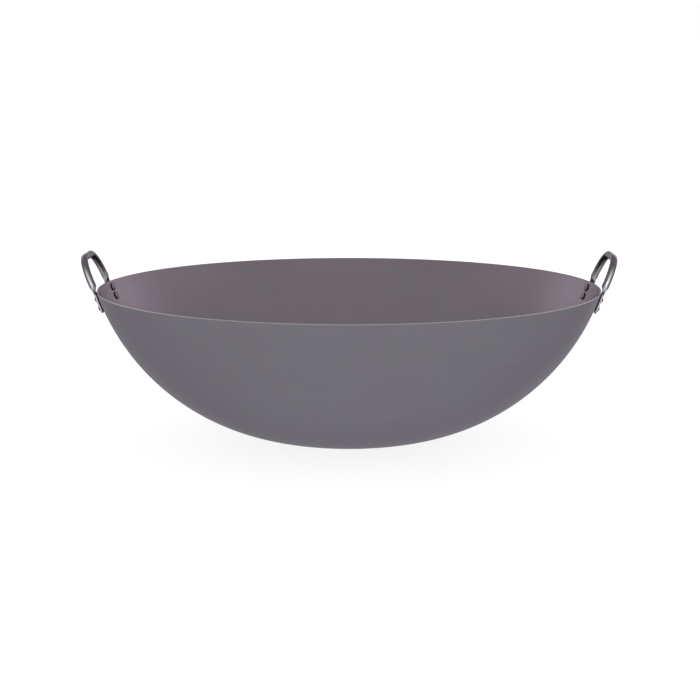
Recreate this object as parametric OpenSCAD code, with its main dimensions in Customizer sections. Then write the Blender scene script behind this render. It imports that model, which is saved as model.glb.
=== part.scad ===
// Large two-handled steel pan (Cantonese wok form).
// A bowl pressed from one sheet carries two loop handles of round bar. Each leg of a
// handle is squashed to a flat tab, which lies on the outside of the wall and is held
// by two rivets. Nothing on it moves.
// Millimetres, +Z up. The origin is the centre of the flat that the pan stands on, and
// the handles are at +X and -X.

/* [Bowl] */
// Diameter over the rim
rim_d = 660; // [540:10:800]
// Depth outside, from the rim's outer edge to the underside of the flat
bowl_depth = 199; // [150:1:250]
// Diameter of the flat that the pan stands on
base_d = 112; // [60:2:160]
// Thickness of the pressed sheet
wall = 2; // [1.2:0.1:3]
// Corner broken off each side of the rim's cut edge
rim_chamfer = 0.4; // [0.1:0.1:0.5]

/* [Handles] */
// Diameter of the handle bar
bar_d = 9.5; // [7:0.5:12]
// Spacing of a handle's two legs at the level of the rim, between centrelines
leg_spacing = 110; // [96:2:150]
// Lean of each leg towards the other
leg_taper = 4; // [1:1:14]
// Centreline radius of the bend at the top of each leg
bend_r = 36; // [20:1:40]
// Length of round, straight leg between the bend and the squashed end
leg_straight = 2.5; // [1:0.5:40]
// Outward lean of the loop from upright
loop_lean = 23.4; // [18:0.2:30]
// Distance of a leg's centreline outside the wall, at the level of the rim
leg_standoff = 1.2; // [0:0.1:3]

/* [Tabs] */
// Width of the flat tab that each leg is squashed to
tab_w = 15; // [13:0.5:20]
// Thickness of the tab
tab_t = 4; // [3:0.2:5]
// Length of the tab below the rim
tab_drop = 28; // [26:0.5:34]
// Height above the rim at which the leg starts to be squashed
squash_top = 8.5; // [7:0.5:12]
// Length over which the round bar is squashed to the tab
squash_len = 7; // [4:0.5:12]

/* [Rivets] */
// Diameter of the rivet shank
shank_d = 5; // [3:0.1:6]
// Depth of the upper rivet below the rim, along the wall
rivet_drop = 9; // [6:0.5:10]
// Distance between the two rivets of a tab
rivet_pitch = 12.5; // [11:0.5:15]
// Diameter of the domed head outside
outer_head_d = 6.8; // [6.5:0.1:9]
// Height of the domed head outside
outer_head_h = 1.5; // [1:0.1:3]
// Diameter of the low, steep-sided head inside the bowl
inner_head_d = 10.4; // [8:0.1:10.8]
// Height of the steep side of the head inside the bowl
inner_edge_h = 1.7; // [0.6:0.1:2]
// Height of the low crown on the head inside the bowl
inner_crown_h = 0.7; // [0.4:0.1:1.6]

/* [Fits] */
// Gap between a tab and the wall that it lies on
seat_gap = 0.05; // [0.02:0.01:0.2]
// Radial clearance of a shank in its holes
hole_gap = 0.1; // [0.05:0.05:0.3]
// Gap under each rivet head
head_gap = 0.02; // [0.01:0.01:0.1]

/* [Hidden] */
$fn = 96;

bowl_grey = [0.44, 0.42, 0.45];
handle_grey = [0.42, 0.40, 0.43];
rivet_grey = [0.62, 0.60, 0.63];

// ---- the wall: one arc, tangent to the flat, seen in section ----
rim_r = rim_d / 2;
base_r = base_d / 2;
arc_r = ((rim_r - base_r) ^ 2 + bowl_depth ^ 2) / (2 * bowl_depth);
rim_angle = asin((rim_r - base_r) / arc_r);

// Point of the section at radius rho from the arc's centre, angle a up from the flat
function arc_point(rho, a) = [base_r + rho * sin(a), arc_r - rho * cos(a)];

// Angle along the arc at a distance d below the rim
function angle_at(d) = rim_angle - degrees(d / arc_r);
function degrees(radians) = radians * 180 / PI;

// Outward normal and downward direction of the wall, at angle a and bearing b
function wall_out(a, b) = [sin(a) * cos(b), sin(a) * sin(b), -cos(a)];
function wall_down(a, b) = [-cos(a) * cos(b), -cos(a) * sin(b), -sin(a)];
function wall_side(b) = [-sin(b), cos(b), 0];

// Bearing of the point of the rim that lies y to the side of the X axis
function bearing(y) = asin(y / rim_r);

// Point at height n off the wall, at distance d below the rim
function wall_point(d, b, n) =
  let (a = angle_at(d), p = arc_point(arc_r, a))
  [p.x * cos(b), p.x * sin(b), p.y] + n * wall_out(a, b);

// ---- the loop: its own plane, with a leg, a bend and half of the straight top ----
leg_y = leg_spacing / 2;
loop_x = rim_r * cos(bearing(leg_y)) + leg_standoff / sin(rim_angle);
leg_len = squash_top + leg_straight;
bend_y = leg_y - bend_r * cos(leg_taper) - leg_len * sin(leg_taper);
bend_z = leg_len * cos(leg_taper) - bend_r * sin(leg_taper);

// Point of a leg's centreline at distance q below the rim, measured along the leg
function leg_point(q) = [
  loop_x - q * cos(leg_taper) * sin(loop_lean),
  leg_y + q * sin(leg_taper),
  bowl_depth - q * cos(leg_taper) * cos(loop_lean)
];
leg_side = [
  sin(leg_taper) * sin(loop_lean), cos(leg_taper), sin(leg_taper) * cos(loop_lean)
];
leg_out = [cos(loop_lean), 0, -sin(loop_lean)];

// ---- the squashed end: superellipse sections from the round bar to the rounded tip ----
end_sides = 24;
squash_steps = 12;
tab_steps = 5;
tip_steps = 7;
end_overlap = 1;
end_taper = 0.5;
end_shrink = 0.99;
flat_power = 5;
tip_reach = 88;
squash_end = squash_len - squash_top;
tip_start = tab_drop - tab_w / 2;

function blend(a, b, k) = a + (b - a) * k;
function ease(k) = k * k * (3 - 2 * k);
function unit(v) = v / norm(v);

// One station: [distance below the rim, share squashed, share of width, of thickness]
end_stations = concat(
  [[-leg_len - end_overlap, 0, end_shrink, end_shrink], [-leg_len + end_taper, 0, 1, 1]],
  [for (i = [0:squash_steps]) let (k = i / squash_steps)
    [-squash_top + k * squash_len, ease(k), 1, 1]],
  [for (i = [1:tab_steps])
    [blend(squash_end, tip_start, i / tab_steps), 1, 1, 1]],
  [for (i = [1:tip_steps]) let (t = tip_reach * i / tip_steps)
    [tip_start + tab_w / 2 * sin(t), 1, cos(t), (1 - sin(t) ^ flat_power) ^ (1 / flat_power)]]
);

// Superellipse point: half axes a and b, power p, at angle t
function squared(c, p) = sign(c) * abs(c) ^ (2 / p);
function section_point(a, b, p, t) = [a * squared(cos(t), p), b * squared(sin(t), p)];

// Middle of the tab: it follows the wall up to the upper rivet, then runs on straight
function tab_point(d, b) =
  let (bent = max(d, rivet_drop))
  wall_point(bent, b, seat_gap + tab_t / 2) + (d - bent) * wall_down(angle_at(bent), b);

// Ring of points for one station. The frame turns from the loop's plane to the wall.
function end_ring(s) =
  let (
    q = s[0],
    k = s[1],
    y = leg_y + q * sin(leg_taper),
    d = q * cos(leg_taper),
    a = angle_at(max(d, rivet_drop)),
    b = bearing(y),
    centre = blend(leg_point(q), tab_point(d, b), k),
    tab_side = cos(leg_taper) * wall_side(b) - sin(leg_taper) * wall_down(a, b),
    side = unit(blend(leg_side, tab_side, k)),
    out = unit(blend(leg_out, wall_out(a, b), k)),
    half_w = blend(bar_d / 2, tab_w / 2, k) * s[2],
    half_t = blend(bar_d / 2, tab_t / 2, k) * s[3],
    power = blend(2, flat_power, k)
  )
  [for (j = [0:end_sides - 1])
    let (p = section_point(half_w, half_t, power, 360 * j / end_sides))
    centre + p.x * side + p.y * out];

// Lofts a list of closed rings into one solid
module loft(rings) {
  n = len(rings[0]);
  last = len(rings) - 1;
  sides = [for (i = [0:last - 1]) for (j = [0:n - 1])
    let (k = (j + 1) % n, a = i * n, b = a + n)
    each [[a + j, b + k, a + k], [a + j, b + j, b + k]]];
  caps = [[for (j = [0:n - 1]) j], [for (j = [n - 1:-1:0]) last * n + j]];
  polyhedron([for (r = rings) each r], concat(sides, caps));
}

module squashed_end() {
  loft([for (s = end_stations) end_ring(s)]);
}

// ---- the bowl ----
// Sector of the section that the wall fills, with the rim's corners broken
module wall_sector() {
  reach = wall + 3;
  inner = arc_r - wall;
  polygon([
    arc_point(inner / 2, 0),
    arc_point(2 * arc_r, 0),
    arc_point(2 * arc_r, rim_angle / 2),
    arc_point(arc_r + reach, angle_at(reach + rim_chamfer)),
    arc_point(arc_r, angle_at(rim_chamfer)),
    arc_point(arc_r - rim_chamfer, rim_angle),
    arc_point(inner + rim_chamfer, rim_angle),
    arc_point(inner, angle_at(rim_chamfer)),
    arc_point(inner - reach, angle_at(reach + rim_chamfer))
  ]);
}

module bowl_section() {
  square([base_r, wall]);
  intersection() {
    translate([base_r, arc_r]) difference() {
      circle(arc_r);
      circle(arc_r - wall);
    }
    wall_sector();
  }
}

module bowl() {
  color(bowl_grey) difference() {
    rotate_extrude() bowl_section();
    each_rivet() rivet_hole();
  }
}

// ---- the rivets ----
function rivet_depth(lower) = rivet_drop + (lower ? rivet_pitch : 0);
function rivet_y(d) = leg_y + d * tan(leg_taper);

// Sets +Z along the wall's outward normal at distance d below the rim, on the right front
module at_rivet(right, front, lower) {
  d = rivet_depth(lower);
  tilt = angle_at(d);
  spot = arc_point(arc_r, tilt);
  mirror([right ? 0 : 1, 0, 0]) mirror([0, front ? 1 : 0, 0]) rotate([0, 0, bearing(rivet_y(d))])
    translate([spot.x, 0, spot.y]) rotate([0, 180 - tilt, 0]) children();
}

module each_rivet() {
  for (right = [false, true]) for (front = [false, true]) for (lower = [false, true])
    at_rivet(right, front, lower) children();
}

// The wall curves towards the head inside it, so that head stands off by the rise as well
inner_rise = (inner_head_d / 2) ^ 2 / (2 * (arc_r - wall));
grip_in = wall + head_gap + inner_rise;
grip_out = seat_gap + tab_t + head_gap;
hole_reach = 4;

module rivet_hole() {
  translate([0, 0, -wall - hole_reach])
    cylinder(h = wall + tab_t + 2 * hole_reach, d = shank_d + 2 * hole_gap);
}

// Cap of a ball: diameter d over its flat, height h
module dome(d, h) {
  ball_r = (d ^ 2 / 4 + h ^ 2) / (2 * h);
  rotate_extrude() intersection() {
    translate([0, h - ball_r]) circle(ball_r);
    square([d, h]);
  }
}

module rivet(right, front, lower) {
  color(rivet_grey) at_rivet(right, front, lower) {
    translate([0, 0, -grip_in]) cylinder(h = grip_in + grip_out, d = shank_d);
    translate([0, 0, grip_out]) dome(outer_head_d, outer_head_h);
    translate([0, 0, -grip_in - inner_edge_h]) {
      cylinder(h = inner_edge_h, d = inner_head_d);
      mirror([0, 0, 1]) dome(inner_head_d, inner_crown_h);
    }
  }
}

// ---- the handles ----
// One bend, and the half of the straight top that runs on from it
module half_loop() {
  translate([loop_x, 0, bowl_depth]) rotate([0, loop_lean, 0]) rotate([90, 0, 90])
    translate([bend_y, bend_z, 0]) {
      rotate_extrude(angle = 90 - leg_taper, start = leg_taper)
        translate([bend_r, 0]) circle(d = bar_d);
      rotate([0, 0, 90]) translate([bend_r, 0, 0]) rotate([-90, 0, 0])
        cylinder(h = bend_y, d = bar_d);
    }
}

module handle(right) {
  color(handle_grey) difference() {
    mirror([right ? 0 : 1, 0, 0]) for (front = [0, 1]) mirror([0, front, 0]) {
      half_loop();
      squashed_end();
    }
    for (front = [false, true]) for (lower = [false, true])
      at_rivet(right, front, lower) rivet_hole();
  }
}

module left_handle() {
  handle(right = false);
}

module right_handle() {
  handle(right = true);
}

bowl();
left_handle();
right_handle();
rivet(false, true, false);  // rivet_left_front_upper
rivet(false, true, true);  // rivet_left_front_lower
rivet(false, false, false);  // rivet_left_rear_upper
rivet(false, false, true);  // rivet_left_rear_lower
rivet(true, true, false);  // rivet_right_front_upper
rivet(true, true, true);  // rivet_right_front_lower
rivet(true, false, false);  // rivet_right_rear_upper
rivet(true, false, true);  // rivet_right_rear_lower
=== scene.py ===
"""Looks of the two-handled steel pan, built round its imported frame.

The pan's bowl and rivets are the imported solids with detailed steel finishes. The two
handles are remade as one smooth surface each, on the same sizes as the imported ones.
Everything is in metres, +Z up, with the origin at the centre of the flat that the pan
stands on, and the handles at +X and -X.
"""

import logging
import math
from dataclasses import dataclass, field
from enum import Enum

import bpy
import numpy as np
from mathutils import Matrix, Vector


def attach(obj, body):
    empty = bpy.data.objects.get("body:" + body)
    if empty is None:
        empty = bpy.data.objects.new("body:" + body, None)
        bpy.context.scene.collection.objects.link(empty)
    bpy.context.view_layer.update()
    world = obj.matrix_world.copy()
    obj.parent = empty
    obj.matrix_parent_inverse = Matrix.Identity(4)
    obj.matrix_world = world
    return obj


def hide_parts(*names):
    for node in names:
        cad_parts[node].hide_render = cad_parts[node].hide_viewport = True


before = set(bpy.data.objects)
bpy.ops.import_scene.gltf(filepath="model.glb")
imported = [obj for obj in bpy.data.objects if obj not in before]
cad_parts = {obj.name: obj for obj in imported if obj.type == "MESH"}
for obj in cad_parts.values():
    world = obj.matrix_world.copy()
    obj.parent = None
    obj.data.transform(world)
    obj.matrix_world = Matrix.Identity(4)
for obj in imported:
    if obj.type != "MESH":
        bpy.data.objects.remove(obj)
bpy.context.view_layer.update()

MM = 0.001

LOG = logging.getLogger("pan")

Colour = tuple[float, float, float]
Span = tuple[float, float]
Socket = bpy.types.NodeSocket

# Inputs of a Mix node: its share, then its A and B as colours or as numbers
MIX_COLOURS = (0, 6, 7)
MIX_NUMBERS = (0, 2, 3)


class Side(Enum):
    """Which handle: the sign of its X."""

    LEFT = -1
    RIGHT = 1


class Leg(Enum):
    """Which leg of a handle: the sign of its Y."""

    FRONT = -1
    REAR = 1


class Seat(Enum):
    """Which rivet of a tab, by its order down the wall."""

    UPPER = 0
    LOWER = 1


def blend(a: np.ndarray, b: np.ndarray, share: np.ndarray) -> np.ndarray:
    """Returns the values a share of the way from a to b."""
    return a + (b - a) * share


def ease(share: np.ndarray) -> np.ndarray:
    """Returns the smooth step 3s^2 - 2s^3 of a share, which is first held to 0 to 1."""
    held = np.clip(share, 0, 1)
    return held * held * (3 - 2 * held)


def bell(value: np.ndarray, middle: float, reach: np.ndarray) -> np.ndarray:
    """Returns the bell exp(-((value - middle) / reach)^2)."""
    return np.exp(-(((value - middle) / reach) ** 2))


def unit(vectors: np.ndarray) -> np.ndarray:
    """Returns the vectors of an (n, 3) array at length 1."""
    return vectors / np.linalg.norm(vectors, axis=1, keepdims=True)


def stack(x: np.ndarray, y: np.ndarray, z: np.ndarray) -> np.ndarray:
    """Returns three coordinate arrays, or numbers, as one (n, 3) array."""
    return np.stack(np.broadcast_arrays(x, y, z), axis=1).astype(float)


# ---------------------------------------------------------------- node trees


class Wiring:
    """A node tree, with short calls that add and join its nodes."""

    def __init__(self, tree: bpy.types.NodeTree) -> None:
        """Takes over that node tree."""
        self.tree = tree

    def node(self, kind: str, **settings: object) -> bpy.types.Node:
        """Adds a node.

        Args:
            kind: The node's type, without its "ShaderNode".
            **settings: Values of its properties.

        Returns:
            The new node.
        """
        made = self.tree.nodes.new("ShaderNode" + kind)
        for key, value in settings.items():
            setattr(made, key, value)
        return made

    def feed(self, socket: Socket, value: object) -> None:
        """Links a socket to another socket, or sets it to a plain value.

        Args:
            socket: The input that is fed.
            value: An output socket, a number, or three numbers.
        """
        if isinstance(value, bpy.types.NodeSocket):
            self.tree.links.new(value, socket)
        elif isinstance(value, tuple) and len(value) == 3 and socket.type == "RGBA":
            socket.default_value = (*value, 1.0)
        else:
            socket.default_value = value

    def feed_all(self, sockets: object, *values: object) -> None:
        """Feeds the first sockets of a row, one value to each."""
        for socket, value in zip(sockets, values):
            self.feed(socket, value)

    def math(self, operation: str, *values: object) -> Socket:
        """Adds a Math node.

        Args:
            operation: What it does.
            *values: Its one to three values.

        Returns:
            The result.
        """
        made = self.node("Math", operation=operation)
        self.feed_all(made.inputs, *values)
        return made.outputs[0]

    def add(self, *values: object) -> Socket:
        """Adds up two or more values.

        Args:
            *values: The values, which are added from the last one back.

        Returns:
            Their total.
        """
        total = values[-1]
        for value in reversed(values[:-1]):
            total = self.math("ADD", value, total)
        return total

    def vector_math(self, operation: str, *values: object) -> bpy.types.Node:
        """Adds a Vector Math node.

        Args:
            operation: What it does.
            *values: Its one or two vectors.

        Returns:
            The node, as its result may be a vector or a value.
        """
        made = self.node("VectorMath", operation=operation)
        self.feed_all(made.inputs, *values)
        return made

    def scale_by(self, vector: object, factor: object) -> Socket:
        """Multiplies a vector or a colour by a number.

        Args:
            vector: The vector or the colour.
            factor: The number.

        Returns:
            The product.
        """
        made = self.vector_math("SCALE", vector)
        self.feed(made.inputs["Scale"], factor)
        return made.outputs["Vector"]

    def combine(self, x: object, y: object, z: object) -> Socket:
        """Makes a vector of three values.

        Args:
            x: Its first value.
            y: Its second value.
            z: Its third value.

        Returns:
            The vector.
        """
        made = self.node("CombineXYZ")
        self.feed_all(made.inputs, x, y, z)
        return made.outputs[0]

    def step(self, value: Socket, start: float, end: float) -> Socket:
        """Makes a smooth step.

        Args:
            value: The value that is read.
            start: Where the step is still 0, which may be above its end.
            end: Where it has reached 1.

        Returns:
            The step, from 0 to 1.
        """
        made = self.node("MapRange", interpolation_type="SMOOTHSTEP")
        sockets = [made.inputs[key] for key in ("Value", "From Min", "From Max")]
        self.feed_all(sockets, value, start, end)
        return made.outputs["Result"]

    def spread(self, value: Socket, low: float, high: float) -> Socket:
        """Carries a 0 to 1 value over to another range.

        Args:
            value: The value that is read.
            low: What 0 becomes.
            high: What 1 becomes.

        Returns:
            The value in its new range.
        """
        made = self.node("MapRange")
        sockets = [made.inputs[key] for key in ("Value", "To Min", "To Max")]
        self.feed_all(sockets, value, low, high)
        return made.outputs["Result"]

    def vary(self, value: Socket, middle: float, reach: float) -> Socket:
        """Returns a 0 to 1 value carried over to a reach either side of a middle."""
        return self.spread(value, middle - reach, middle + reach)

    def mix(self, share: object, a: object, b: object) -> Socket:
        """Mixes two colours.

        Args:
            share: 0 for the first one, and 1 for the second.
            a: The first colour.
            b: The second colour.

        Returns:
            The mixed colour.
        """
        made = self.node("Mix", data_type="RGBA")
        self.feed_all([made.inputs[i] for i in MIX_COLOURS], share, a, b)
        return made.outputs[2]

    def mix_numbers(self, share: object, a: object, b: object) -> Socket:
        """Mixes two numbers.

        Args:
            share: 0 for the first one, and 1 for the second.
            a: The first number.
            b: The second number.

        Returns:
            The mixed number.
        """
        made = self.node("Mix", data_type="FLOAT")
        self.feed_all([made.inputs[i] for i in MIX_NUMBERS], share, a, b)
        return made.outputs[0]

    def mix_shaders(self, share: Socket, a: Socket, b: Socket) -> Socket:
        """Mixes two shaders.

        Args:
            share: 0 for the first one, and 1 for the second.
            a: The first shader.
            b: The second shader.

        Returns:
            The mixed shader.
        """
        made = self.node("MixShader")
        self.feed_all(made.inputs, share, a, b)
        return made.outputs[0]

    def noise(
        self, place: Socket, scale: float, detail: float = 3.0, rough: float = 0.6
    ) -> Socket:
        """Makes a noise, about 0.5 on average.

        Args:
            place: Vector that the noise reads.
            scale: Bumps to a metre of that vector.
            detail: Finer octaves added.
            rough: Strength of each finer octave.

        Returns:
            The noise, from 0 to 1.
        """
        made = self.node("TexNoise")
        keys = ("Vector", "Scale", "Detail", "Roughness")
        self.feed_all([made.inputs[key] for key in keys], place, scale, detail, rough)
        return made.outputs["Fac"]

    def bump(self, height: Socket, depth: float, under: object = None) -> Socket:
        """Raises a surface.

        Args:
            height: How high it is raised, from 0 to 1.
            depth: The full height in metres.
            under: Normal of another bump that this one lies on.

        Returns:
            The raised surface's normal.
        """
        made = self.node("Bump")
        made.inputs["Strength"].default_value = 1.0
        made.inputs["Distance"].default_value = depth
        self.feed(made.inputs["Height"], height)
        if under is not None:
            self.feed(made.inputs["Normal"], under)
        return made.outputs["Normal"]

    def seen(self) -> Socket:
        """Tells the rays that show a surface to the eye.

        Returns:
            1 for rays from the camera, a reflection or through glass, and 0 for others.
        """
        path = self.node("LightPath").outputs
        either = self.math("MAXIMUM", path["Is Camera Ray"], path["Is Glossy Ray"])
        return self.math("MAXIMUM", either, path["Is Transmission Ray"])


class MaterialWiring(Wiring):
    """The node tree of a new material."""

    def __init__(self, name: str) -> None:
        """Starts an empty material.

        Args:
            name: The material's name.
        """
        self.material = bpy.data.materials.new(name)
        self.material.use_nodes = True
        super().__init__(self.material.node_tree)
        self.tree.nodes.clear()
        self.output = self.node("OutputMaterial")

    def coat(self, shader: Socket) -> bpy.types.Material:
        """Gives the material that shader, and returns the material."""
        self.feed(self.output.inputs["Surface"], shader)
        return self.material

    def metal(
        self, colour: Socket, grazing: Colour, roughness: Socket, normal: Socket
    ) -> bpy.types.Material:
        """Makes the material bare metal.

        Args:
            colour: Its colour seen straight on.
            grazing: Tint of its reflection at a grazing angle.
            roughness: Its roughness.
            normal: Its normal, with its bumps.

        Returns:
            The material.
        """
        shader = self.node("BsdfPrincipled")
        keys = ("Base Color", "Metallic", "Roughness", "Normal", "Specular Tint")
        sockets = [shader.inputs[key] for key in keys]
        self.feed_all(sockets, colour, 1.0, roughness, normal, grazing)
        return self.coat(shader.outputs["BSDF"])


def dress(piece: bpy.types.Object, finish: bpy.types.Material) -> None:
    """Gives a piece a finish, in each of its material slots or in a new one.

    Args:
        piece: The piece.
        finish: Its new material.
    """
    if not piece.material_slots:
        piece.data.materials.append(finish)
    for slot in piece.material_slots:
        slot.material = finish


# ---------------------------------------------------------------- the wall's shape


@dataclass(frozen=True)
class Wall:
    """Section of the pressed wall: a flat, then one arc tangent to it up to the rim.

    An angle is measured up the arc from the flat. A distance below the rim is
    measured along the arc, and a bearing round the pan from +X.
    """

    rim_r: float = 330 * MM
    depth: float = 199 * MM
    base_r: float = 56 * MM
    sheet: float = 2 * MM

    @property
    def arc_r(self) -> float:
        """Outside radius of the arc: ((R - b)^2 + h^2) / 2h, from the tangent at the flat."""
        return ((self.rim_r - self.base_r) ** 2 + self.depth**2) / (2 * self.depth)

    @property
    def rim_angle(self) -> float:
        """Angle of the arc at the rim."""
        return math.asin((self.rim_r - self.base_r) / self.arc_r)

    def angle_at(self, below: np.ndarray) -> np.ndarray:
        """Returns the arc's angle at a distance below the rim."""
        return self.rim_angle - below / self.arc_r

    def bearing(self, y: np.ndarray) -> np.ndarray:
        """Returns the bearing of the point of the rim that lies y off the X axis."""
        return np.arcsin(y / self.rim_r)

    def out(self, angle: np.ndarray, bearing: np.ndarray) -> np.ndarray:
        """Returns the outward normals."""
        level = np.sin(angle)
        return stack(level * np.cos(bearing), level * np.sin(bearing), -np.cos(angle))

    def down(self, angle: np.ndarray, bearing: np.ndarray) -> np.ndarray:
        """Returns the directions down the wall."""
        level = -np.cos(angle)
        return stack(level * np.cos(bearing), level * np.sin(bearing), -np.sin(angle))

    def across(self, bearing: np.ndarray) -> np.ndarray:
        """Returns the level directions along the wall."""
        return stack(-np.sin(bearing), np.cos(bearing), 0.0)

    def point(self, below: np.ndarray, bearing: np.ndarray, off: float) -> np.ndarray:
        """Works out points over the wall's outer face.

        The arc's point at an angle a is b + R sin(a) from the axis, and R - R cos(a)
        above the flat.

        Args:
            below: Distances below the rim.
            bearing: Bearings round the pan.
            off: Height off the wall.

        Returns:
            The points, (n, 3).
        """
        angle = self.angle_at(below)
        reach = self.base_r + self.arc_r * np.sin(angle)
        height = self.arc_r - self.arc_r * np.cos(angle)
        on_wall = stack(reach * np.cos(bearing), reach * np.sin(bearing), height)
        return on_wall + off * self.out(angle, bearing)


@dataclass
class WallPlace:
    """Where a point of a surface lies on the wall, as sockets of a material."""

    wiring: Wiring
    wall: Wall
    place: Socket = field(init=False)
    meridian: Socket = field(init=False)
    angle: Socket = field(init=False)
    depth: Socket = field(init=False)
    heading: Socket = field(init=False)
    normal: Socket = field(init=False)

    def __post_init__(self) -> None:
        """Works out each socket from Object coordinates.

        With r the distance from the axis, u = max(r - b, 0) and v = R - z, the angle
        up the arc is atan2(u, v), the depth into the sheet is R - sqrt(u^2 + v^2) and
        the meridian length from the centre is min(r, b) + R * angle.
        """
        w, wall = self.wiring, self.wall
        self.place = w.node("TexCoord").outputs["Object"]
        split = w.node("SeparateXYZ")
        w.feed(split.inputs[0], self.place)
        x, y, z = split.outputs
        reach = w.math("SQRT", w.math("MULTIPLY_ADD", x, x, w.math("MULTIPLY", y, y)))
        u = w.math("MAXIMUM", w.math("SUBTRACT", reach, wall.base_r), 0.0)
        v = w.math("SUBTRACT", wall.arc_r, z)
        rho = w.math("SQRT", w.math("MULTIPLY_ADD", u, u, w.math("MULTIPLY", v, v)))
        self.angle = w.math("ARCTAN2", u, v)
        self.depth = w.math("SUBTRACT", wall.arc_r, rho)
        flat = w.math("MINIMUM", reach, wall.base_r)
        self.meridian = w.math("MULTIPLY_ADD", self.angle, wall.arc_r, flat)
        # A millimetre at least, so that nothing is divided by 0 on the axis
        safe = w.math("MAXIMUM", reach, MM)
        cos_b, sin_b = w.math("DIVIDE", x, safe), w.math("DIVIDE", y, safe)
        self.heading = w.combine(cos_b, sin_b, 0.0)
        sin_a, cos_a = w.math("SINE", self.angle), w.math("COSINE", self.angle)
        self.normal = w.combine(
            w.math("MULTIPLY", sin_a, cos_b),
            w.math("MULTIPLY", sin_a, sin_b),
            w.math("MULTIPLY", cos_a, -1.0),
        )

    def outer(self) -> Socket:
        """Returns 0 in the sheet's inner half, and 1 in its outer half and outside it."""
        middle, soft = self.wall.sheet / 2, self.wall.sheet / 20
        return self.wiring.step(self.depth, middle + soft, middle - soft)

    def rings(self, pitch: float, waver: float) -> Socket:
        """Makes a noise in rings round the pan.

        Args:
            pitch: Distance in metres between rings, along the meridian.
            waver: How many times a ring changes on its way round.

        Returns:
            The noise, from 0 to 1.
        """
        w = self.wiring
        up = w.combine(0.0, 0.0, w.math("DIVIDE", self.meridian, pitch))
        lifted = w.vector_math("ADD", w.scale_by(self.heading, waver), up)
        return w.noise(lifted.outputs["Vector"], 1.0)


# ---------------------------------------------------------------- finishes
#
# In a finish, "tone" is how far a pattern takes the colour up and down, as a share of
# it, and "rough" how far it takes the roughness. "Relief" is the height of its bumps,
# "scale" a noise's bumps to a metre, and "edge" where a smooth step starts and ends.


@dataclass(frozen=True)
class PanSteel:
    """Pressed sheet steel, with its cut rim left bright. Painted light makes the outside
    paler low down, against the shade that it reflects from the floor.

    The edges of the paler lower part and of the rim are angles up the arc, the latter from
    the lower edge of the rim's band.
    """

    name: str = "pan_steel"
    outside: Colour = (0.176, 0.170, 0.190)
    # Painted light: the paler colour of the outside low down, against the floor's reflected
    # shade
    foot_painted_light: Colour = (0.212, 0.205, 0.229)
    foot_painted_light_edge: Span = (1.25, 0.45)
    inside: Colour = (0.159, 0.1385, 0.159)
    rim: Colour = (0.31, 0.29, 0.31)
    rim_band: float = 0.35 * MM
    rim_edge: Span = (-0.0006, 0.0004)
    grazing: Colour = (0.56, 0.525, 0.56)
    roughness: float = 0.46
    warm: Colour = (1.03, 0.985, 1.02)
    cloud_scale: float = 9.0
    cloud_edge: Span = (0.42, 0.66)
    cloud_rough: float = 0.04
    line_pitch: float = 0.5 * MM
    line_waver: float = 6.0
    line_tone: float = 0.12
    line_rough: float = 0.05
    line_relief: float = 0.008 * MM
    band_pitch: float = 7 * MM
    band_waver: float = 2.0
    band_tone: float = 0.03
    grain_scale: float = 900.0
    grain_tone: float = 0.09
    grain_relief: float = 0.008 * MM

    def make(self, wall: Wall) -> bpy.types.Material:
        """Makes the material.

        Args:
            wall: The wall that its piece lies on.

        Returns:
            The material.
        """
        w = MaterialWiring(self.name)
        on = WallPlace(w, wall)
        lines = on.rings(self.line_pitch, self.line_waver)
        bands = on.rings(self.band_pitch, self.band_waver)
        cloud = w.noise(on.place, self.cloud_scale, rough=0.55)
        grain = w.noise(on.place, self.grain_scale, detail=2.0)
        tone = w.add(
            w.vary(lines, 1.0, self.line_tone),
            w.vary(bands, 0.0, self.band_tone),
            w.vary(grain, 0.0, self.grain_tone),
        )
        # Painted light: paler towards the bottom of the outside, lifting the shade it
        # reflects from the floor
        outside = w.mix(w.step(on.angle, *self.foot_painted_light_edge), self.outside, self.foot_painted_light)
        steel = w.mix(on.outer(), self.inside, outside)
        warmed = w.vector_math("MULTIPLY", steel, self.warm).outputs["Vector"]
        steel = w.mix(w.step(cloud, *self.cloud_edge), steel, warmed)
        band_foot = wall.rim_angle - self.rim_band / wall.arc_r
        cut = w.step(on.angle, *(band_foot + edge for edge in self.rim_edge))
        rough = w.add(
            w.vary(lines, self.roughness, self.line_rough),
            w.vary(cloud, 0.0, self.cloud_rough),
        )
        relief = w.bump(lines, self.line_relief, w.bump(grain, self.grain_relief))
        colour = w.mix(cut, w.scale_by(steel, tone), self.rim)
        return w.metal(colour, self.grazing, rough, relief)


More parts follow.
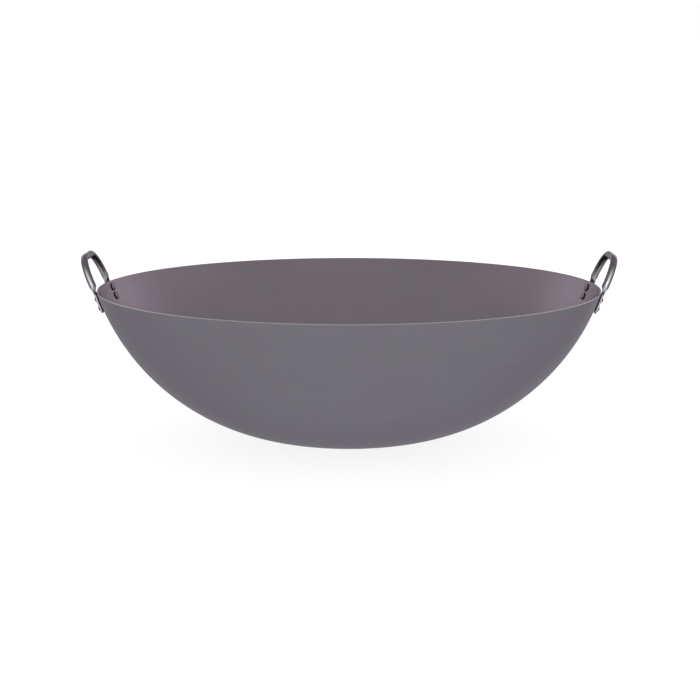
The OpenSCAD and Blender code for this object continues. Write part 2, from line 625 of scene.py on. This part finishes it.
@dataclass(frozen=True)
class BarSteel:
    """Drawn steel bar, lightened along its sides, partly as polishing from its bending and
    partly as a painted highlight streak, and darkened in the tight places, partly by scale
    and partly by painted shade and painted dark reflections.

    The draw marks' scales are bumps to a metre along the bar and round it.
    """

    name: str = "bar_steel"
    drawn: Colour = (0.088, 0.080, 0.090)
    worked: Colour = (0.46, 0.43, 0.46)
    # Partly polish and partly painted highlight: colour of the bright lines along the bar
    burnished_and_highlight: Colour = (0.68, 0.62, 0.68)
    burnished_rough: float = -0.08
    # Colour of the scale and of the painted shade and painted dark reflections in the tight
    # places
    dark: Colour = (0.020, 0.015, 0.021)
    dark_edge: Span = (0.35, 0.75)
    dark_ragged: float = 0.25
    dark_rough: float = 0.2
    grazing: Colour = (0.65, 0.62, 0.65)
    roughness: float = 0.38
    draw_scales: tuple[float, float, float] = (60.0, 2600.0, 0.0)
    draw_tone: float = 0.30
    draw_rough: float = 0.06
    draw_relief: float = 0.010 * MM
    patch_scale: float = 160.0
    patch_tone: float = 0.10
    pit_scale: float = 1400.0
    pit_relief: float = 0.008 * MM

    def make(self) -> bpy.types.Material:
        """Makes the material.

        It reads the map "along", and the attributes "scale", "squashed" and "burnish"
        from 0 to 1.

        Returns:
            The material.
        """
        w = MaterialWiring(self.name)
        run = w.node("UVMap", uv_map="along").outputs["UV"]
        scaled_and_shaded = w.node("Attribute", attribute_name="scale").outputs["Fac"]
        squashed = w.node("Attribute", attribute_name="squashed").outputs["Fac"]
        # This attribute is partly polishing and partly a painted highlight streak down the
        # legs
        rubbed_and_highlight = w.node("Attribute", attribute_name="burnish").outputs["Fac"]
        stretched = w.vector_math("MULTIPLY", run, self.draw_scales)
        draw = w.noise(stretched.outputs["Vector"], 1.0)
        place = w.node("TexCoord").outputs["Object"]
        pits = w.noise(place, self.pit_scale, detail=2.0)
        patch = w.noise(place, self.patch_scale)
        tone = w.add(w.vary(draw, 1.0, self.draw_tone), w.vary(patch, 0.0, self.patch_tone))
        steel = w.mix(squashed, self.drawn, self.worked)
        # Painted highlight: the bright lines lighten the colour, partly as polish and partly
        # as a highlight streak
        steel = w.scale_by(w.mix(rubbed_and_highlight, steel, self.burnished_and_highlight), tone)
        # The scale attribute is partly scale and mostly painted shade and painted dark
        # reflection
        ragged = w.add(scaled_and_shaded, w.vary(patch, 0.0, self.dark_ragged))
        dark = w.step(ragged, *self.dark_edge)
        rough = w.add(
            w.vary(draw, self.roughness, self.draw_rough),
            w.math("MULTIPLY", dark, self.dark_rough),
        )
        rough = w.math("MULTIPLY_ADD", rubbed_and_highlight, self.burnished_rough, rough)
        relief = w.bump(draw, self.draw_relief, w.bump(pits, self.pit_relief))
        return w.metal(w.mix(dark, steel, self.dark), self.grazing, rough, relief)


@dataclass(frozen=True)
class RivetSteel:
    """Soft steel rivet: bright set head outside and low head inside, with painted shade on
    the heads' steep edges: dark outlines outside and dark crescents inside.

    The heads' edges are cosines of the angle between the surface and the wall.
    """

    name: str = "rivet_steel"
    bright: Colour = (0.80, 0.77, 0.80)
    inside: Colour = (0.150, 0.131, 0.150)
    # Painted shade: colour of the heads' steep edges
    painted_crevice_shade: Colour = (0.012, 0.008, 0.013)
    crevice_rough: float = 0.2
    inner_edge_shade: Span = (0.72, 0.45)
    outer_edge_shade: Span = (0.96, 0.84)
    grazing: Colour = (0.30, 0.29, 0.30)
    roughness: float = 0.45
    mark_scale: float = 420.0
    mark_tone: float = 0.1
    mark_relief: float = 0.02 * MM
    grain_scale: float = 1500.0
    grain_rough: float = 0.07
    grain_relief: float = 0.004 * MM

    def make(self, wall: Wall) -> bpy.types.Material:
        """Makes the material.

        Args:
            wall: The wall that the rivets are set through.

        Returns:
            The material.
        """
        w = MaterialWiring(self.name)
        on = WallPlace(w, wall)
        outer = on.outer()
        facing = w.node("NewGeometry").outputs["Normal"]
        cosine = w.vector_math("DOT_PRODUCT", facing, on.normal).outputs["Value"]
        square = w.math("ABSOLUTE", cosine)
        grain = w.noise(on.place, self.grain_scale)
        mark = w.noise(on.place, self.mark_scale, detail=2.0, rough=0.5)
        # Painted shade: darkens the heads' steep edges, where the surface turns away from the
        # wall's normal
        inner_edge_shade = w.step(square, *self.inner_edge_shade)
        outer_edge_shade = w.step(square, *self.outer_edge_shade)
        edge = w.mix_numbers(outer, inner_edge_shade, outer_edge_shade)
        steel = w.mix(outer, self.inside, self.bright)
        steel = w.scale_by(steel, w.vary(mark, 1.0, self.mark_tone))
        rough = w.vary(grain, self.roughness, self.grain_rough)
        rough = w.math("MULTIPLY_ADD", edge, self.crevice_rough, rough)
        relief = w.bump(mark, self.mark_relief, w.bump(grain, self.grain_relief))
        return w.metal(w.mix(edge, steel, self.painted_crevice_shade), self.grazing, rough, relief)


# ---------------------------------------------------------------- a handle's surface


@dataclass
class Sections:
    """Sections of a bar, one to each station along it. Each one is a superellipse.

    "across" lies in the loop's plane, or along the wall on a tab, and "face" looks
    away from the pan. "turned" is the bend's angle, 0 on a leg.
    """

    centre: np.ndarray
    across: np.ndarray
    face: np.ndarray
    half_w: np.ndarray
    half_t: np.ndarray
    power: np.ndarray
    squashed: np.ndarray
    turned: np.ndarray
    below: np.ndarray

    def followed_by(self, other: "Sections") -> "Sections":
        """Returns these sections and then the other ones."""
        pairs = zip(vars(self).values(), vars(other).values())
        return Sections(*(np.concatenate(pair) for pair in pairs))

    def rings(self, t: np.ndarray, trim: float) -> tuple[np.ndarray, np.ndarray]:
        """Works out the points round each section.

        The point at angle t is centre + a c^(2/p) across + b s^(2/p) face, with c and
        s the cosine and sine of t and their signs kept.

        Args:
            t: Angles round the section, (1, sides).
            trim: Share of the half sizes a and b that is used.

        Returns:
            Points (stations, sides, 3), and their heights above the section's middle,
            from -1 on the side of the pan to 1 (stations, sides).
        """
        e = 2 / self.power[:, None]
        cos_t, sin_t = np.cos(t), np.sin(t)
        reach = np.sign(cos_t) * np.abs(cos_t) ** e
        rise = np.sign(sin_t) * np.abs(sin_t) ** e
        x = (trim * self.half_w)[:, None] * reach
        y = (trim * self.half_t)[:, None] * rise
        points = (
            self.centre[:, None, :]
            + x[:, :, None] * self.across[:, None, :]
            + y[:, :, None] * self.face[:, None, :]
        )
        return points, rise


@dataclass(frozen=True)
class BarWearAndPaintedLight:
    """Where a handle's bar is painted dark, partly as scale and partly as painted shade and
    painted dark reflections, and where it is painted light, partly as polish and partly as
    a painted highlight streak.

    An angle round the section is 0 on the loop's outer side and 90 degrees on the
    face, and a place is a distance below the rim. A bell has its middle "at" a place
    or an angle, and a "reach".
    """

    # Painted dark reflection on the inner side of the bend
    bend_at: float = math.radians(72)
    bend_reach: float = math.radians(20)
    bend_power: float = 1.5
    # Scale and painted shade in the step on the side of the pan
    wedge_at: float = -2.5 * MM
    wedge_reach: float = 3 * MM
    wedge_strength: float = 1.3
    wedge_cut: float = 0.1
    wedge_power: float = 0.7
    neck_at: float = -1 * MM
    neck_reach: float = 6.5 * MM
    neck_strength: float = 0.62
    tip_len: float = 4 * MM
    # Painted shadow in the gap between the tab and the wall
    gap_start: float = -4.8 * MM
    gap_len: float = 6 * MM
    gap_top: float = 0.15
    gap_soft: float = 0.5
    outer_reach: float = 0.34
    inner_reach: float = 0.55
    inner_strength: float = 0.42
    # Strength of the bright lines, which are partly polish and partly a painted highlight
    # streak
    rubbed_and_highlight_all_over: float = 0.05
    rubbed_and_highlight_on_legs: float = 0.90
    fade_end: float = math.radians(45)
    fade_len: float = math.radians(30)

    def scale(
        self, bar: Sections, t: np.ndarray, rise: np.ndarray, tab_end: float
    ) -> np.ndarray:
        """Works out where the bar is painted dark, partly as scale and mostly as painted
        shade and painted dark reflections.

        It is a bell in the bend's angle on the bar's inner side, a painted dark reflection; a
        bell half way down the squash on the side of the pan, scale and painted shade in the
        step; a weaker bell all round the neck there; the half of the tab next to the wall, a
        painted shadow in the gap; and the rounded end of the tab.

        Args:
            bar: The bar's sections.
            t: Angles round the section, (1, sides).
            rise: Heights above the section's middle, from -1 at the pan to 1.
            tab_end: Distance of the tab's end below the rim.

        Returns:
            The scale, from 0 to 1 (stations, sides).
        """
        bend = bell(bar.turned, self.bend_at, self.bend_reach)
        patch = bend[:, None] * np.clip(-np.cos(t), 0, 1) ** self.bend_power
        step = self.wedge_strength * bell(bar.below, self.wedge_at, self.wedge_reach)
        under = np.clip(-np.sin(t) - self.wedge_cut, 0, 1) ** self.wedge_power
        neck = self.neck_strength * bell(bar.below, self.neck_at, self.neck_reach)
        tip = ease((bar.below - tab_end) / self.tip_len + 1)
        on_wall = ease((bar.below - self.gap_start) / self.gap_len)
        gap_shadow = on_wall[:, None] * ease((self.gap_top - rise) / self.gap_soft)
        ring = np.maximum(neck, tip)[:, None] + 0 * t
        marks = np.maximum.reduce([patch, step[:, None] * under, gap_shadow, ring])
        return np.clip(marks, 0, 1)

    def burnish(self, bar: Sections, t: np.ndarray) -> np.ndarray:
        """Works out where the bar is lightened: polishing by the bending tools, and a painted
        highlight streak.

        It is a line along the inner and the outer side, strongest at the leg, and
        fading with the bend's angle and in the squash.

        Args:
            bar: The bar's sections.
            t: Angles round the section, (1, sides).

        Returns:
            The burnish, from 0 to 1 (stations, sides).
        """
        # The outer line, strongest at the legs, stands in as a painted highlight streak
        outer = np.cos(t) > 0
        line = bell(np.sin(t), 0.0, np.where(outer, self.outer_reach, self.inner_reach))
        line = line * np.where(outer, 1.0, self.inner_strength)
        fade = ease((self.fade_end - bar.turned) / self.fade_len) * (1 - bar.squashed)
        return (self.rubbed_and_highlight_all_over + self.rubbed_and_highlight_on_legs * fade)[:, None] * line


# ---------------------------------------------------------------- the pan's pieces


@dataclass
class Bowl:
    """The pan's bowl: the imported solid, in spun sheet steel."""

    wall: Wall
    finish: PanSteel = field(default_factory=PanSteel)
    node: str = "bowl"

    def build(self) -> list[bpy.types.Object]:
        """Dresses the bowl.

        Returns:
            Its one piece.
        """
        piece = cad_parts[self.node]
        dress(piece, self.finish.make(self.wall))
        return [piece]


@dataclass
class Handle:
    """One loop handle: a round bar with both legs squashed to tabs on the wall.

    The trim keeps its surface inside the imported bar's facets. The tip's turns, in
    degrees, set its stations closer together towards the end.
    """

    side: Side
    wall: Wall
    steel: bpy.types.Material
    wear_and_painted_light: BarWearAndPaintedLight = field(default_factory=BarWearAndPaintedLight)
    bar_d: float = 9.5 * MM
    leg_spacing: float = 110 * MM
    leg_taper: float = math.radians(4)
    bend_r: float = 36 * MM
    leg_straight: float = 2.5 * MM
    lean: float = math.radians(23.4)
    standoff: float = 1.2 * MM
    tab_w: float = 15 * MM
    tab_t: float = 4 * MM
    tab_drop: float = 28 * MM
    squash_top: float = 8.5 * MM
    squash_len: float = 7 * MM
    rivet_drop: float = 9 * MM
    seat_gap: float = 0.05 * MM
    bar_power: float = 2.0
    flat_power: float = 5.0
    trim: float = 0.998
    sides: int = 64
    tip_turns: tuple[float, ...] = (89.4, 87, 83, 78, 72, 65, 57, 49, 41, 33, 25, 17, 8.5)
    tab_steps: int = 13
    squash_steps: int = 40
    leg_steps: int = 4
    bend_steps: int = 48
    top_steps: int = 8

    @property
    def name(self) -> str:
        """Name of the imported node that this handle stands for."""
        return f"{self.side.name.lower()}_handle"

    @property
    def leg_y(self) -> float:
        """Half the legs' spacing at the level of the rim."""
        return self.leg_spacing / 2

    @property
    def leg_len(self) -> float:
        """Length of a leg from the rim up to its bend."""
        return self.squash_top + self.leg_straight

    def origin(self) -> np.ndarray:
        """Works out the loop plane's origin.

        Returns:
            The point in the rim's level, half way between the legs.
        """
        reach = self.wall.rim_r * math.cos(float(self.wall.bearing(self.leg_y)))
        off = self.standoff / math.sin(self.wall.rim_angle)
        return np.array([reach + off, 0.0, self.wall.depth])

    def plane(self) -> tuple[np.ndarray, np.ndarray, np.ndarray]:
        """Returns the loop plane's level, upward and outward directions."""
        s, c = math.sin(self.lean), math.cos(self.lean)
        return np.array([0.0, 1, 0]), np.array([s, 0.0, c]), np.array([c, 0.0, -s])

    def leg_stations(self) -> tuple[np.ndarray, np.ndarray, np.ndarray]:
        """Sets out the stations from the tab's tip up to the bend.

        The tip is a half circle in the tab's width, and its thickness falls off as
        (1 - sin(t)^p)^(1/p).

        Returns:
            Distance below the rim, share of the full width, share of the thickness.
        """
        p = self.flat_power
        tip_start = self.tab_drop - self.tab_w / 2
        squash_end = self.squash_len - self.squash_top
        t = np.radians(self.tip_turns)
        tip = tip_start + self.tab_w / 2 * np.sin(t)
        tab = np.linspace(tip_start, squash_end, self.tab_steps + 1)[:-1]
        squash = np.linspace(squash_end, -self.squash_top, self.squash_steps + 1)
        leg = np.linspace(-self.squash_top, -self.leg_len, self.leg_steps + 1)[1:]
        below = np.concatenate([tip, tab, squash, leg])
        width, thick = np.ones(len(below)), np.ones(len(below))
        width[: len(t)] = np.cos(t)
        thick[: len(t)] = (1 - np.sin(t) ** p) ** (1 / p)
        return below, width, thick

    def leg_sections(self) -> Sections:
        """Works out the sections from the tab's tip up to the bend.

        The squash is a smooth step from bar to tab, in which the section's frame turns
        from the loop's plane to the wall. The tab follows the wall up to the upper
        rivet, then runs on straight.

        Returns:
            The sections.
        """
        below, width, thick = self.leg_stations()
        level, up, outward = self.plane()
        share = ease((below + self.squash_top) / self.squash_len)
        k = share[:, None]
        s, c = math.sin(self.leg_taper), math.cos(self.leg_taper)
        y = self.leg_y + below * s
        drop = below * c
        bent = np.maximum(drop, self.rivet_drop)
        angle, bearing = self.wall.angle_at(bent), self.wall.bearing(y)
        down, out = self.wall.down(angle, bearing), self.wall.out(angle, bearing)
        off = self.seat_gap + self.tab_t / 2
        tab = self.wall.point(bent, bearing, off) + (drop - bent)[:, None] * down
        leg = self.origin() + y[:, None] * level - drop[:, None] * up
        leg_side = c * level + s * up
        tab_side = c * self.wall.across(bearing) - s * down
        return Sections(
            centre=blend(leg, tab, k),
            across=unit(blend(leg_side[None, :], tab_side, k)),
            face=unit(blend(outward[None, :], out, k)),
            half_w=blend(self.bar_d / 2, self.tab_w / 2, share) * width,
            half_t=blend(self.bar_d / 2, self.tab_t / 2, share) * thick,
            power=blend(self.bar_power, self.flat_power, share),
            squashed=share,
            turned=np.zeros(len(below)),
            below=below,
        )

    def loop_sections(self) -> Sections:
        """Works out the sections from the bend to the middle of the top.

        The bend is a circle of the bend's radius, tangent to the leg and to the top.

        Returns:
            The sections.
        """
        level, up, outward = self.plane()
        s, c = math.sin(self.leg_taper), math.cos(self.leg_taper)
        bend_y = self.leg_y - self.bend_r * c - self.leg_len * s
        bend_z = self.leg_len * c - self.bend_r * s
        turn = np.linspace(self.leg_taper, math.pi / 2, self.bend_steps + 1)[1:]
        top_y = np.linspace(bend_y, 0.0, self.top_steps + 1)[1:]
        top_z = np.full(self.top_steps, bend_z + self.bend_r)
        y = np.concatenate([bend_y + self.bend_r * np.cos(turn), top_y])
        z = np.concatenate([bend_z + self.bend_r * np.sin(turn), top_z])
        turned = np.concatenate([turn, np.full(self.top_steps, math.pi / 2)])
        across = np.cos(turned)[:, None] * level + np.sin(turned)[:, None] * up
        n = len(turned)
        return Sections(
            centre=self.origin() + y[:, None] * level + z[:, None] * up,
            across=across,
            face=np.broadcast_to(outward, across.shape),
            half_w=np.full(n, self.bar_d / 2),
            half_t=np.full(n, self.bar_d / 2),
            power=np.full(n, self.bar_power),
            squashed=np.zeros(n),
            turned=turned,
            below=np.full(n, -self.leg_len),
        )

    def surface(self) -> tuple[np.ndarray, dict[str, np.ndarray]]:
        """Works out the bar's surface from the front tab's tip round to the rear one's.

        The second half is the first one mirrored in Y and walked back from the middle.

        Returns:
            Points (stations, sides, 3), and each attribute's values (stations, sides).
        """
        half = self.leg_sections().followed_by(self.loop_sections())
        t = np.linspace(0, 2 * math.pi, self.sides, endpoint=False)[None, :]
        points, rise = half.rings(t, self.trim)
        marks = {
            "squashed": np.broadcast_to(half.squashed[:, None], rise.shape),
            # The scale marks are mostly painted shade and dark reflections, the burnish marks
            # partly a painted highlight
            "scale": self.wear_and_painted_light.scale(half, t, rise, self.tab_drop),
            "burnish": self.wear_and_painted_light.burnish(half, t),
        }
        other = points[-2::-1] * np.array([1.0, -1.0, 1.0])
        whole = {key: np.concatenate([v, v[-2::-1]]) for key, v in marks.items()}
        return np.concatenate([points, other]), whole

    def faces(self, stations: int) -> list[list[int]]:
        """Joins the rings with quads, and closes each end with a fan round its tip.

        Args:
            stations: How many rings there are. The two tips' vertices follow theirs.

        Returns:
            The vertices of each face, with the quads first.
        """
        n, m = stations, self.sides
        i, j = np.meshgrid(np.arange(n - 1), np.arange(m), indexing="ij")
        k = (j + 1) % m
        quads = np.stack([i * m + j, i * m + k, (i + 1) * m + k, (i + 1) * m + j], -1)
        quads = quads.reshape(-1, 4)
        around = np.arange(m)
        ahead = (around + 1) % m
        first = np.stack([np.full(m, n * m), ahead, around], -1)
        last = (n - 1) * m
        final = np.stack([np.full(m, n * m + 1), last + around, last + ahead], -1)
        if self.side is Side.RIGHT:
            quads, first, final = quads[:, ::-1], first[:, ::-1], final[:, ::-1]
        return quads.tolist() + first.tolist() + final.tolist()

    def map_along(self, mesh: bpy.types.Mesh, points: np.ndarray) -> None:
        """Adds the map "along": metres along the bar, and metres round it.

        Args:
            mesh: The bar's mesh.
            points: The points of its rings (stations, sides, 3).
        """
        n, m = points.shape[:2]
        middle = points.mean(axis=1)
        steps = np.linalg.norm(np.diff(middle, axis=0), axis=1)
        run = np.concatenate([[0.0], np.cumsum(steps)])
        corners = np.empty(len(mesh.loops), np.int32)
        mesh.loops.foreach_get("vertex_index", corners)
        station = np.minimum(corners // m, n - 1)
        side = np.where(corners < n * m, corners % m, 0)
        # A quad that crosses the seam takes side m for side 0. The quads come first
        quads = side[: (n - 1) * m * 4].reshape(-1, 4)
        crossing = (quads.max(axis=1) == m - 1) & (quads.min(axis=1) == 0)
        quads[crossing[:, None] & (quads == 0)] = m
        across = side / m * math.pi * self.bar_d
        layer = mesh.uv_layers.new(name="along")
        pair = np.stack([run[station], across], axis=1).astype(np.float32)
        layer.data.foreach_set("uv", pair.reshape(-1))

    def mesh(self) -> bpy.types.Mesh:
        """Makes the bar's mesh, with its map and its attributes.

        Returns:
            The mesh.
        """
        points, marks = self.surface()
        points = points * np.array([self.side.value, 1.0, 1.0])
        tips = points[[0, -1]].mean(axis=1)
        vertices = np.concatenate([points.reshape(-1, 3), tips])
        mesh = bpy.data.meshes.new(self.name + "_bar")
        mesh.from_pydata(vertices.tolist(), [], self.faces(len(points)))
        for key, values in marks.items():
            ends = values[[0, -1]].mean(axis=1)
            flat = np.concatenate([values.reshape(-1), ends]).astype(np.float32)
            mesh.attributes.new(key, "FLOAT", "POINT").data.foreach_set("value", flat)
        self.map_along(mesh, points)
        mesh.polygons.foreach_set("use_smooth", np.ones(len(mesh.polygons), bool))
        mesh.update()
        mesh.validate()
        return mesh

    def build(self) -> list[bpy.types.Object]:
        """Makes the handle's piece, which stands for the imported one.

        Returns:
            Its one piece.
        """
        piece = bpy.data.objects.new(self.name + "_bar", self.mesh())
        bpy.context.scene.collection.objects.link(piece)
        dress(piece, self.steel)
        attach(piece, "root")
        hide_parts(self.name)
        return [piece]


@dataclass
class Rivets:
    """The eight rivets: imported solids, each set through a tab and the wall."""

    wall: Wall
    finish: RivetSteel = field(default_factory=RivetSteel)

    def build(self) -> list[bpy.types.Object]:
        """Dresses the rivets.

        Returns:
            Their pieces.
        """
        steel = self.finish.make(self.wall)
        pieces = []
        for side in Side:
            for leg in Leg:
                for seat in Seat:
                    parts = ("rivet", side.name, leg.name, seat.name)
                    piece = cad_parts["_".join(parts).lower()]
                    dress(piece, steel)
                    pieces.append(piece)
        return pieces


# ---------------------------------------------------------------- the studio


@dataclass
class Lamp:
    """A soft rectangular lamp aimed at a point."""

    name: str
    place: tuple[float, float, float]
    size: tuple[float, float]
    brightness: float
    aim: tuple[float, float, float] = (0.0, 0.0, 0.12)

    def build(self) -> None:
        """Hangs the lamp. Its power gives its face that brightness, as P = pi A L."""
        light = bpy.data.lights.new(self.name, "AREA")
        light.shape = "RECTANGLE"
        light.size, light.size_y = self.size
        light.energy = math.pi * self.size[0] * self.size[1] * self.brightness
        lamp = bpy.data.objects.new(self.name, light)
        bpy.context.scene.collection.objects.link(lamp)
        lamp.location = self.place
        aim = Vector(self.aim) - Vector(self.place)
        lamp.rotation_euler = aim.to_track_quat("-Z", "Y").to_euler()


@dataclass
class Studio:
    """Pale floor, white surroundings, soft lamps and the camera."""

    floor_size: float = 40.0
    floor_z: float = -0.1 * MM
    floor_diffuse: float = 0.24
    floor_glow: float = 0.86
    floor_bounce: float = 0.8
    world_fill: float = 0.8
    camera_distance: float = 2.3067
    camera_pitch: float = math.radians(9.607)
    camera_turn: float = math.radians(0.6)
    camera_aim: float = 0.1144
    camera_clip: Span = (0.05, 100.0)
    lens: float = 89.39
    sensor: float = 36.0
    shift_x: float = 0.00143
    lamps: list[Lamp] = field(
        default_factory=lambda: [
            Lamp("left_key", (-0.45, -2.3, 0.65), (0.30, 0.8), 4.0),
            Lamp("right_key", (0.85, -2.2, 0.65), (0.30, 0.8), 4.0),
            Lamp("left_back_lamp", (-1.25, 2.05, 0.85), (1.7, 0.85), 2.1),
            Lamp("right_back_lamp", (1.25, 2.05, 0.85), (1.7, 0.85), 2.1),
            Lamp("left_side_lamp", (-2.2, 0.0, 0.9), (1.4, 1.0), 0.55),
            Lamp("right_side_lamp", (2.2, 0.0, 0.9), (1.4, 1.0), 0.55),
        ]
    )

    def floor_white(self) -> bpy.types.Material:
        """Makes the floor's finish: near white from above, and clear from below.

        Where it is seen it is a dark surface with a glow, so that a shadow darkens it
        only a little. For other rays it is a plain pale surface.

        Returns:
            The material.
        """
        w = MaterialWiring("floor_white")
        shown, bounce = w.node("BsdfDiffuse"), w.node("BsdfDiffuse")
        glow, both = w.node("Emission"), w.node("AddShader")
        w.feed(shown.inputs["Color"], (self.floor_diffuse,) * 3)
        w.feed(bounce.inputs["Color"], (self.floor_bounce,) * 3)
        w.feed(glow.inputs["Strength"], self.floor_glow)
        w.feed_all(both.inputs, shown.outputs[0], glow.outputs[0])
        above = w.mix_shaders(w.seen(), bounce.outputs[0], both.outputs[0])
        under = w.node("NewGeometry").outputs["Backfacing"]
        clear = w.node("BsdfTransparent").outputs[0]
        return w.coat(w.mix_shaders(under, above, clear))

    def lay_floor(self) -> None:
        """Lays the floor, a hair below the flat that the pan stands on."""
        half, z = self.floor_size / 2, self.floor_z
        mesh = bpy.data.meshes.new("floor")
        corners = [(-half, -half, z), (half, -half, z), (half, half, z), (-half, half, z)]
        mesh.from_pydata(corners, [], [(0, 1, 2, 3)])
        floor = bpy.data.objects.new("floor", mesh)
        bpy.context.scene.collection.objects.link(floor)
        dress(floor, self.floor_white())

    def light_world(self) -> None:
        """Surrounds the scene in white, at full strength only where it is seen."""
        world = bpy.data.worlds.new("surroundings")
        bpy.context.scene.world = world
        world.use_nodes = True
        w = Wiring(world.node_tree)
        back = next(n for n in w.tree.nodes if n.type == "BACKGROUND")
        w.feed(back.inputs["Color"], (1.0, 1.0, 1.0))
        w.feed(back.inputs["Strength"], w.spread(w.seen(), self.world_fill, 1.0))

    def place_camera(self) -> None:
        """Sets the camera on its arm: a distance, a pitch and a turn about the pan."""
        data = bpy.data.cameras.new("camera")
        data.lens, data.sensor_width, data.shift_x = self.lens, self.sensor, self.shift_x
        data.clip_start, data.clip_end = self.camera_clip
        camera = bpy.data.objects.new("camera", data)
        bpy.context.scene.collection.objects.link(camera)
        e, a = self.camera_pitch, self.camera_turn
        back = Vector((math.sin(a) * math.cos(e), -math.cos(a) * math.cos(e), math.sin(e)))
        camera.location = Vector((0, 0, self.camera_aim)) + back * self.camera_distance
        camera.rotation_euler = (-back).to_track_quat("-Z", "Y").to_euler()
        bpy.context.scene.camera = camera

    def build(self) -> None:
        """Sets up the whole studio."""
        self.lay_floor()
        self.light_world()
        for lamp in self.lamps:
            lamp.build()
        self.place_camera()
        bpy.context.scene.view_settings.view_transform = "Standard"


def report(pieces: list[bpy.types.Object]) -> None:
    """Logs each piece's name and its count of faces."""
    for piece in pieces:
        LOG.info("%s: %d faces", piece.name, len(piece.data.polygons))


def main() -> None:
    """Builds the studio and the pan."""
    logging.basicConfig(level=logging.INFO, format="%(name)s %(message)s")
    Studio().build()
    wall = Wall()
    bar_steel = BarSteel().make()
    report(Bowl(wall).build())
    for side in Side:
        report(Handle(side, wall, bar_steel).build())
    report(Rivets(wall).build())


if __name__ == "__main__":
    main()
